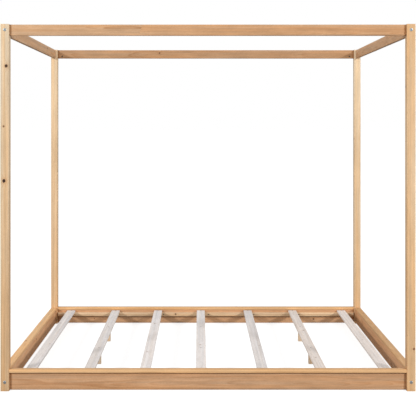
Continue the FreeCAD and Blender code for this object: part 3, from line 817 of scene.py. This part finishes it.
class Log:
    """How a stick was cut from its log, which gives the places that its material reads."""

    def __init__(self, node, low, high, grain_axis):
        self.size = high - low
        self.middle = np.array((low + high) / 2)
        self.grain_axis = grain_axis
        self.length = self.size[grain_axis]
        self.thin, self.wide = sorted((i for i in range(3) if i != grain_axis), key=lambda i: self.size[i])
        dice = random.Random(node + " log")
        self.lean = dice.uniform(-LOG_LEAN, LOG_LEAN)
        self.start = dice.uniform(0.0, LOG_LENGTH)
        self.thin_offset = dice.choice((-1, 1)) * (self.size[self.thin] / 2 + dice.uniform(*THIN_OFFSET))
        self.wide_offset = dice.uniform(-WIDE_OFFSET, WIDE_OFFSET) * self.size[self.wide]
        if self.size[self.wide] < self.size[self.thin] * SQUARE:
            self.wide_offset = dice.choice((-1, 1)) * dice.uniform(*SQUARE_OFFSET)

    def grain(self, local):
        along = local[:, self.grain_axis]
        return np.stack([along + self.start, local[:, self.thin] + self.thin_offset + self.lean * along,
                         local[:, self.wide] + self.wide_offset], axis=1)

    def beside(self, branch):
        """The axis across the stick that a branch doesn't run along."""
        return self.wide if branch == self.thin else self.thin


def knots_for(node, log):
    """This stick's knots: the chosen ones, or a few placed at random from the stick's name. Each is its
    place along and across the stick from its middle, its radius, its branch's axis and its darkness."""
    if node in CHOSEN_KNOTS:
        return [(along - log.length / 2, across, radius, "XYZ".index(branch), darkness)
                for along, across, radius, branch, darkness in CHOSEN_KNOTS[node]]
    dice = random.Random(node + " knots")
    count = int(log.length / KNOT_SPACING + dice.random())
    nearly_square = log.size[log.wide] < log.size[log.thin] * NEARLY_SQUARE
    knots = []
    for index in range(count):
        along = -log.length / 2 + log.length * (index + dice.uniform(*KNOT_ALONG)) / count
        branch = log.wide if dice.random() < WIDE_BRANCHES and nearly_square else log.thin
        across = dice.uniform(*KNOT_ACROSS) * log.size[log.beside(branch)]
        radius = dice.uniform(*KNOT_RADII)
        knots.append((along, across, radius, branch, dice.uniform(*KNOT_DARKNESS)))
    return knots


def stick_traits(node, log, along):
    """Each point's tone, how golden it is, and how much lighter it is past a scarf joint. Tone and gold
    also carry painted shade on the posts' low ends and a painted shadow of the posts at the ends of boards
    and rails.
    """
    swing = random.Random(node + " tone").uniform(-TONE_SWING, TONE_SWING)
    own_tone, own_gold = TONES.get(node, (swing, 0.0))
    tone = np.full(len(along), own_tone)
    gold_and_shade = np.full(len(along), own_gold)
    share = along / log.length + 0.5
    if SLOTS[node] == "post_pine":
        # Painted shade: each post darker and more golden towards the floor.
        gold_and_shade += POST_LOW_SHADE * np.clip(1.0 - POST_LOW_SHADE_FALL * share, 0.0, 1.0)
        gold_and_shade += TOP_GOLD.get(node, 0.0) * np.clip(1.0 - TOP_GOLD_FALL * (1.0 - share), 0.0, 1.0)
    elif node == "top_rail_front":
        gold_and_shade += RAIL_GOLD * np.clip(RAIL_GOLD_RISE * share, 0.0, 1.0)
    if SLOTS[node] in ("board_pine", "rail_pine"):
        # Painted shadow of the posts: boards and rails darker and redder at their ends.
        post_shadow = np.clip(1.0 - (log.length / 2 - np.abs(along)) / END_SHADOW_LENGTH, 0.0, 1.0)
        tone -= END_PAINTED_SHADOW * post_shadow
        gold_and_shade += END_SHADOW_GOLD * post_shadow
    joint_tone = SCARF_JOINTS[node][2] if node in SCARF_JOINTS else 0.0
    return np.stack([tone, gold_and_shade, np.full(len(along), joint_tone)], axis=1)


def stick_wear(node, log, local, radius):
    """Each point's worn edge and end grain, from 0 to 1, and its distance past a scarf joint."""
    along = local[:, log.grain_axis]
    from_sides = [log.size[i] / 2 - np.abs(local[:, i]) for i in (log.thin, log.wide)]
    edge = np.clip(EDGE_REACH - np.maximum(*from_sides) / radius, 0.0, 1.0)
    end = np.clip(1.0 - (log.length / 2 - np.abs(along)) / END_GRAIN_DEPTH, 0.0, 1.0)
    past_joint = np.full(len(local), BEFORE_JOINT)
    if node in SCARF_JOINTS:
        joint_place, joint_lean, _ = SCARF_JOINTS[node]
        leaned = joint_place + joint_lean * local[:, log.wide] / log.size[log.wide]
        past_joint = along + log.length / 2 - leaned
    return np.stack([edge, end, past_joint], axis=1)


def write_knots(mesh, node, log):
    """Writes the nearest knot on each face."""
    centres = np.array([face.center for face in mesh.polygons]) - log.middle
    knot_centre = np.tile(np.array(FAR_KNOT), (len(centres), 1))
    knot_look = np.tile(np.array(FAR_KNOT_LOOK), (len(centres), 1))
    nearest = np.full(len(centres), np.inf)
    for along, across, radius, branch, darkness in knots_for(node, log):
        beside = log.beside(branch)
        place = np.zeros((1, 3))
        place[0, log.grain_axis] = along
        place[0, beside] = across
        distance = np.hypot(centres[:, log.grain_axis] - along, centres[:, beside] - across)
        closer = distance < nearest
        knot_centre[closer] = log.grain(place)[0]
        knot_look[closer] = (radius, float(branch == log.wide), darkness)
        nearest[closer] = distance[closer]
    write_vectors(mesh, "knot_centre", "FACE", knot_centre)
    write_vectors(mesh, "knot_look", "FACE", knot_look)


def make_stick(node, material):
    """One stick's own mesh, standing for its CAD node, with what its material reads."""
    low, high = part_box(node)
    radius, wear = EDGES[SLOTS[node]]
    mesh, grain_axis = stick_mesh(node + "_wood", low, high, radius, wear)
    piece = new_object(node + "_wood", mesh)
    cut_recesses(piece, node, low, high)
    mesh = piece.data
    log = Log(node, low, high, grain_axis)
    local = np.array([vertex.co for vertex in mesh.vertices]) - log.middle
    write_vectors(mesh, "grain", "POINT", log.grain(local))
    write_vectors(mesh, "trait", "POINT", stick_traits(node, log, local[:, grain_axis]))
    write_vectors(mesh, "wear", "POINT", stick_wear(node, log, local, radius))
    write_knots(mesh, node, log)
    crease(mesh, WOOD_CREASE)
    settle(piece, node, material)


# ---------------------------------------------------------------- turned hardware

def add_ring(whole, matrix, depth, reaches):
    """Adds a ring of vertices, each as far from the axis as its reach."""
    ring = []
    for step, reach in enumerate(reaches):
        angle = 2 * math.pi * step / len(reaches)
        place = Vector((reach * math.cos(angle), reach * math.sin(angle), depth))
        ring.append(whole.verts.new(matrix @ place))
    return ring


def join_rings(whole, first, second):
    """Faces between two rings. A ring of one vertex is an end's centre."""
    count = max(len(first), len(second))
    for i in range(count):
        j = (i + 1) % count
        if len(first) == 1:
            whole.faces.new((first[0], second[i], second[j]))
        elif len(second) == 1:
            whole.faces.new((first[i], second[0], first[j]))
        else:
            whole.faces.new((first[i], second[i], second[j], first[j]))


def add_closed_piece(whole, matrix, rings):
    """Adds a closed piece. Its rings run from the outer end's centre to the inner end's, as a depth and
    its vertices' reaches."""
    previous = add_ring(whole, matrix, *rings[0])
    for depth, reaches in rings[1:]:
        ring = add_ring(whole, matrix, depth, reaches)
        join_rings(whole, previous, ring)
        previous = ring


def reaches_round(radius, sides, segments):
    """The reaches of a round ring, which has no sides, or of a socket with so many sides."""
    if not sides:
        return [radius] * segments
    sector = 2 * math.pi / sides
    angles = [2 * math.pi * step / segments for step in range(segments)]
    return [radius / math.cos((angle % sector) - sector / 2) for angle in angles]


def turned(node, segments, profile):
    """A node's turned pieces. The profile runs from the outer end's centre to the inner end's, as
    (radius, depth, sides): sides is 0 for a round ring, or the number of sides of a socket's ring."""
    rings = [(profile[0][1], [0.0])]
    rings += [(depth, reaches_round(radius, sides, segments)) for radius, depth, sides in profile[1:-1]]
    rings.append((profile[-1][1], [0.0]))
    whole = bmesh.new()
    for spot in SPOTS[node]:
        add_closed_piece(whole, spot.matrix(), rings)
    bmesh.ops.recalc_face_normals(whole, faces=whole.faces)
    return new_object(node + "_steel", filled_mesh(node + "_steel", whole))


def thread(radius, root, start, stop, pitch):
    """Rings of a thread, from one depth to another."""
    rings = []
    depth = start
    while depth + pitch < stop:
        rings.append((root, depth, 0))
        rings.append((radius, depth + pitch * 0.5, 0))
        depth += pitch
    return rings


def make_bolts(node, material):
    """Flat-head connector bolts: a hexagon socket in a domed head with a rolled rim, a shank, a thread
    and a chamfered tip."""
    length = SPOTS[node][0].length
    socket = 2.0 * MM
    shank = 3.0 * MM
    piece = turned(node, 36, [
        (0.0, 3.7 * MM, 0), (socket * 0.6, 3.4 * MM, 0), (socket, 3.0 * MM, 6), (socket, 0.35 * MM, 6),
        (socket * 1.14, 0.05 * MM, 6), (socket * 1.6, 0.0, 0),
        (5.6 * MM, 0.04 * MM, 0), (7.2 * MM, 0.22 * MM, 0), (7.8 * MM, 0.62 * MM, 0),
        (BOLT_HEAD_RADIUS, 1.15 * MM, 0), (7.9 * MM, 1.8 * MM, 0), (7.4 * MM, 2.45 * MM, 0),
        (3.4 * MM, BOLT_HEAD_DEPTH, 0), (shank, 3.0 * MM, 0), (shank, 44.0 * MM, 0),
        *thread(shank, 2.5 * MM, 45.0 * MM, length - 1.2 * MM, 1.0 * MM),
        (2.9 * MM, length - 1.1 * MM, 0), (2.2 * MM, length - 0.1 * MM, 0), (0.0, length, 0),
    ])
    crease(piece.data, STEEL_CREASE)
    settle(piece, node, material)


def make_nuts(node, material):
    """Barrel nuts: short cylinders with chamfers and a screwdriver slot at the open end."""
    length = SPOTS[node][0].length
    chamfer = 0.6 * MM
    end_radius = 4.4 * MM
    piece = turned(node, 36, [
        (0.0, 0.0, 0), (2.0 * MM, 0.0, 0), (end_radius, 0.0, 0), (NUT_RADIUS, chamfer, 0),
        (NUT_RADIUS, 0.5 * length, 0), (NUT_RADIUS, length - chamfer, 0), (end_radius, length, 0),
        (0.0, length, 0),
    ])
    slot_size = Matrix.Diagonal((11.0 * MM, 1.3 * MM, 2.4 * MM, 1.0))
    slots = bmesh.new()
    for spot in SPOTS[node]:
        bmesh.ops.create_cube(slots, size=1.0, matrix=spot.matrix() @ slot_size)
    cut_away(piece, slots)
    crease(piece.data, STEEL_CREASE)
    settle(piece, node, material)


def make_screws(node, material):
    """Countersunk wood screws: a square drive, a cone under the head, a shank, a coarse thread and a
    point."""
    length = SPOTS[node][0].length
    drive = 1.15 * MM
    shank = 1.6 * MM
    piece = turned(node, 24, [
        (0.0, 2.0 * MM, 0), (drive * 0.8, 1.9 * MM, 4), (drive, 0.12 * MM, 4), (drive * 1.25, 0.0, 4),
        (2.6 * MM, 0.0, 0), (3.75 * MM, 0.03 * MM, 0), (SCREW_HEAD_RADIUS, 0.3 * MM, 0),
        (2.1 * MM, 2.9 * MM, 0), (shank, 3.4 * MM, 0), (shank, 0.34 * length, 0),
        *thread(2.0 * MM, 1.3 * MM, 0.36 * length, length - 4.0 * MM, 1.8 * MM),
        (1.2 * MM, length - 3.2 * MM, 0), (0.0, length, 0),
    ])
    crease(piece.data, STEEL_CREASE)
    settle(piece, node, material)


def make_dowels(node, material):
    """Fluted dowels with chamfered ends."""
    flutes = 16
    flute_depth = 0.35 * MM
    chamfer = 1.0 * MM
    end_radius = 3.2 * MM
    whole = bmesh.new()
    for spot in SPOTS[node]:
        rings = [(0.0, [0.0])]
        for radius, depth in ((end_radius, 0.0), (DOWEL_RADIUS, chamfer), (DOWEL_RADIUS, spot.length / 2),
                              (DOWEL_RADIUS, spot.length - chamfer), (end_radius, spot.length)):
            rings.append((depth, [radius - flute_depth, radius, radius] * flutes))
        rings.append((spot.length, [0.0]))
        add_closed_piece(whole, spot.matrix(), rings)
    bmesh.ops.recalc_face_normals(whole, faces=whole.faces)
    mesh = filled_mesh(node + "_wood", whole)
    places = np.array([vertex.co for vertex in mesh.vertices])
    write_vectors(mesh, "grain", "POINT", places + np.array((0.0, 0.05, 0.03)))
    write_vectors(mesh, "trait", "POINT", np.zeros((len(places), 3)))
    write_vectors(mesh, "wear", "POINT", np.tile(np.array((0.0, 0.0, BEFORE_JOINT)), (len(places), 1)))
    write_vectors(mesh, "knot_centre", "FACE", np.tile(np.array(FAR_KNOT), (len(mesh.polygons), 1)))
    write_vectors(mesh, "knot_look", "FACE", np.tile(np.array(FAR_KNOT_LOOK), (len(mesh.polygons), 1)))
    settle(new_object(node + "_wood", mesh), node, material)


# ---------------------------------------------------------------- stage, lights and camera

# The camera: its lens and shift, and where it stands, with its distance measured from the bed's front.
LENS = 77.87
LENS_SHIFT = (0.0202, -0.1983)
CAMERA_ACROSS = -0.0428
CAMERA_DISTANCE = 4.602
CAMERA_HEIGHT = 1.360

# The floor: its size, how far it lies below the bed, how it looks, and how dull it is to other light.
FLOOR_HALF = 250.0
FLOOR_DROP = 0.4 * MM
FLOOR_GLOW = 0.78
FLOOR_PALE = (0.45, 0.45, 0.45, 1.0)
FLOOR_DULL = (0.34, 0.335, 0.33, 1.0)

WHITE = (1.0, 1.0, 1.0, 1.0)
SOFT_LIGHT = 0.51
WHITE_LIGHT = 1.0

LAMP_TARGET = Vector((0.0, 0.0, 0.9))
LAMP_DISTANCE = 14.0
LAMP_SIZE = 1.3
LAMP_POWER = 870.0


def make_camera():
    """A level camera in front of the bed, shifted down, so that upright posts stay upright."""
    data = bpy.data.cameras.new("camera")
    data.sensor_width = 36.0
    data.lens = LENS
    data.shift_x, data.shift_y = LENS_SHIFT
    data.clip_end = 1000.0
    camera = new_object("camera", data)
    camera.location = (CAMERA_ACROSS, CAD_BOX[0][1] - CAMERA_DISTANCE, CAMERA_HEIGHT)
    camera.rotation_euler = (math.radians(90), 0.0, 0.0)
    bpy.context.scene.camera = camera


def make_floor():
    """A plain white floor. It looks brighter than the light it throws back up at the bed."""
    mesh = bpy.data.meshes.new("floor")
    signs = ((-1, -1), (1, -1), (1, 1), (-1, 1))
    mesh.from_pydata([(x * FLOOR_HALF, y * FLOOR_HALF, -FLOOR_DROP) for x, y in signs], [], [(0, 1, 2, 3)])
    floor = new_object("floor", mesh)
    g = Graph("floor_white")
    seen = g.node("ShaderNodeLightPath").outputs["Is Camera Ray"]
    dull = g.node("ShaderNodeBsdfDiffuse", {"Color": FLOOR_DULL}).outputs[0]
    pale = g.node("ShaderNodeBsdfDiffuse", {"Color": FLOOR_PALE}).outputs[0]
    glow = g.node("ShaderNodeEmission", {"Color": WHITE, "Strength": FLOOR_GLOW}).outputs[0]
    bright = g.node("ShaderNodeAddShader", {0: pale, 1: glow}).outputs[0]
    surface = g.node("ShaderNodeMixShader", {0: seen, 1: dull, 2: bright}).outputs[0]
    g.node("ShaderNodeOutputMaterial", {"Surface": surface})
    mesh.materials.append(g.material)


def make_world():
    """A white surround for the eye, and a dimmer even light for the bed."""
    world = bpy.data.worlds.new("studio")
    world.use_nodes = True
    tree = world.node_tree
    tree.nodes.clear()
    path = tree.nodes.new("ShaderNodeLightPath")
    mixer = tree.nodes.new("ShaderNodeMixShader")
    output = tree.nodes.new("ShaderNodeOutputWorld")
    tree.links.new(path.outputs["Is Camera Ray"], mixer.inputs[0])
    for place, strength in ((1, SOFT_LIGHT), (2, WHITE_LIGHT)):
        even = tree.nodes.new("ShaderNodeBackground")
        even.inputs["Color"].default_value = WHITE
        even.inputs["Strength"].default_value = strength
        tree.links.new(even.outputs[0], mixer.inputs[place])
    tree.links.new(mixer.outputs[0], output.inputs["Surface"])
    bpy.context.scene.world = world


def make_lamp(name, direction):
    """A square soft box that shines at the middle of the bed from a direction."""
    away = Vector(direction).normalized()
    data = bpy.data.lights.new(name, "AREA")
    data.shape = "SQUARE"
    data.size = LAMP_SIZE
    data.energy = LAMP_POWER
    lamp = new_object(name, data)
    lamp.location = LAMP_TARGET + away * LAMP_DISTANCE
    lamp.rotation_euler = away.to_track_quat("Z", "Y").to_euler()


bpy.context.scene.view_settings.view_transform = "Standard"
make_camera()
make_world()
make_floor()
make_lamp("key_left", (-0.95, -1.0, 0.5))
make_lamp("key_right", (0.95, -1.0, 0.5))

MATERIALS = {name: wood(name, **look) for name, look in WOODS.items()}
MATERIALS.update({name: steel(name, **look) for name, look in STEELS.items()})

for node_name, slot_name in SLOTS.items():
    if slot_name in EDGES:
        make_stick(node_name, MATERIALS[slot_name])
for bolt_node in ("end_rail_bolts", "side_rail_bolts"):
    make_bolts(bolt_node, MATERIALS["bolt_steel"])
make_nuts("barrel_nuts", MATERIALS["nut_steel"])
for dowel_node in ("rail_dowels", "cap_dowels"):
    make_dowels(dowel_node, MATERIALS["dowel_beech"])
for screw_node in ("slat_screws", "leg_screws", "ledger_screws"):
    make_screws(screw_node, MATERIALS["screw_steel"])
